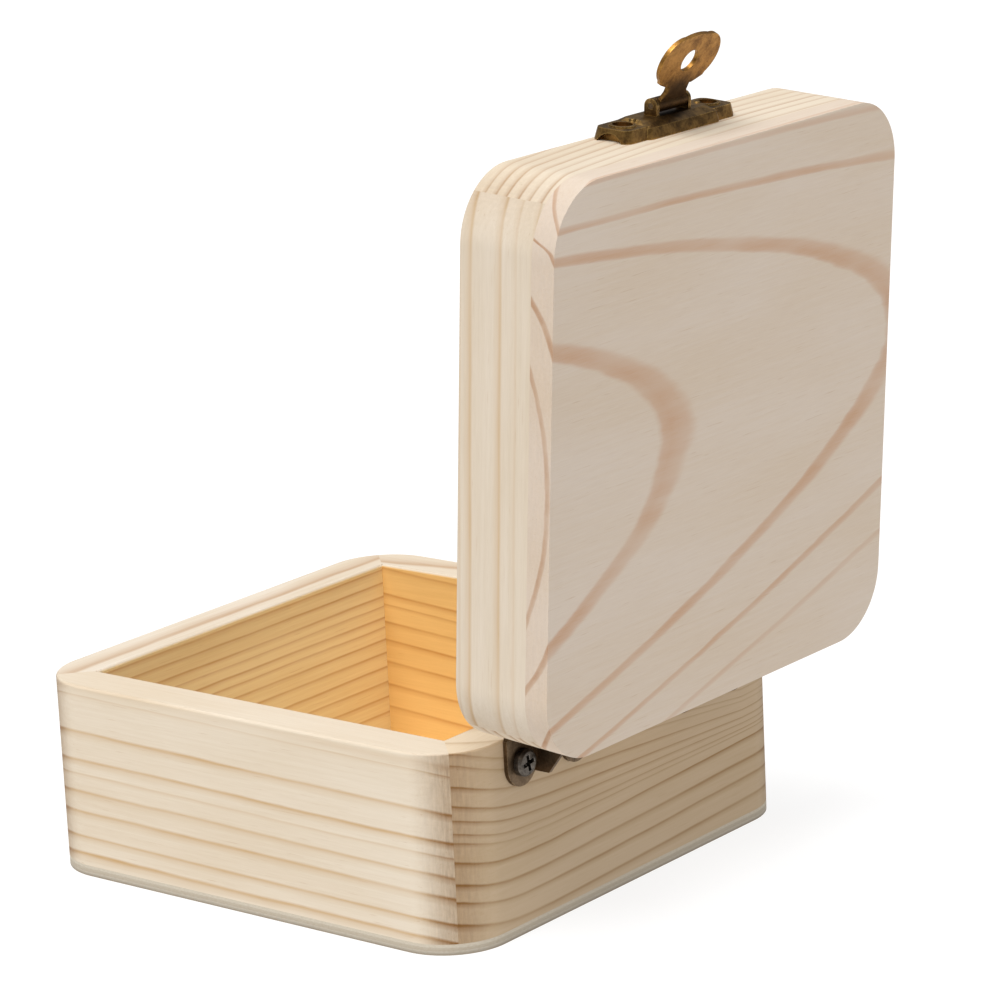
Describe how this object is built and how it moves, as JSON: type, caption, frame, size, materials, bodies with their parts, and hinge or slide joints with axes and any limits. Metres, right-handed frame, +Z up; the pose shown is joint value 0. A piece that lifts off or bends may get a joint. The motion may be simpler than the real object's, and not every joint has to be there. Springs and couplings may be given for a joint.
{
  "type": "wooden keepsake box",
  "caption": "Small square bare-pine keepsake box with rounded corners, a deep lid on stop hinges and a swinging hasp latch over a stud keeper.",
  "frame": {"origin": "centre of the underside of the base panel, where the box rests", "axes": "+X to the right seen from the latch side, +Y towards the hinges at the back, +Z up"},
  "size_m": [0.1, 0.1336, 0.1555],
  "materials": {
    "pine": "bare, sanded",
    "plywood": "bare, sanded",
    "dark_bronze": "antique bronze plating, worn",
    "antique_brass": "antique brass plating, worn",
    "screw_steel": "plain zinc-plated steel"
  },
  "bodies": {
    "box": {"side_board_left": "pine", "side_board_right": "pine", "front_board": "pine", "back_board": "pine", "base_panel": "plywood", "hinge_left_box_leaf": "dark_bronze", "hinge_left_pin": "screw_steel", "hinge_left_box_screws": "screw_steel", "hinge_right_box_leaf": "dark_bronze", "hinge_right_pin": "screw_steel", "hinge_right_box_screws": "screw_steel", "keeper_plate": "antique_brass", "keeper_stud": "antique_brass", "keeper_nails": "antique_brass"},
    "lid": {"lid_board_left": "pine", "lid_board_right": "pine", "lid_board_front": "pine", "lid_board_back": "pine", "lid_panel": "pine", "hinge_left_lid_leaf": "dark_bronze", "hinge_left_lid_screws": "screw_steel", "hinge_right_lid_leaf": "dark_bronze", "hinge_right_lid_screws": "screw_steel", "latch_base": "antique_brass", "latch_base_nails": "antique_brass", "latch_pin": "dark_bronze"},
    "hasp": {"latch_hasp": "antique_brass"}
  },
  "joints": [
    {"name": "lid_hinge", "type": "hinge", "parent": "box", "child": "lid", "pos_m": [0, 0.05145, 0.03785], "axis": [1, 0, 0], "range_deg": [0, 94.3]},
    {"name": "hasp_hinge", "type": "hinge", "parent": "lid", "child": "hasp", "pos_m": [0, 0.06393, 0.14316], "axis": [-1, 0, 0], "range_deg": [-114.5, 65.5]}
  ]
}
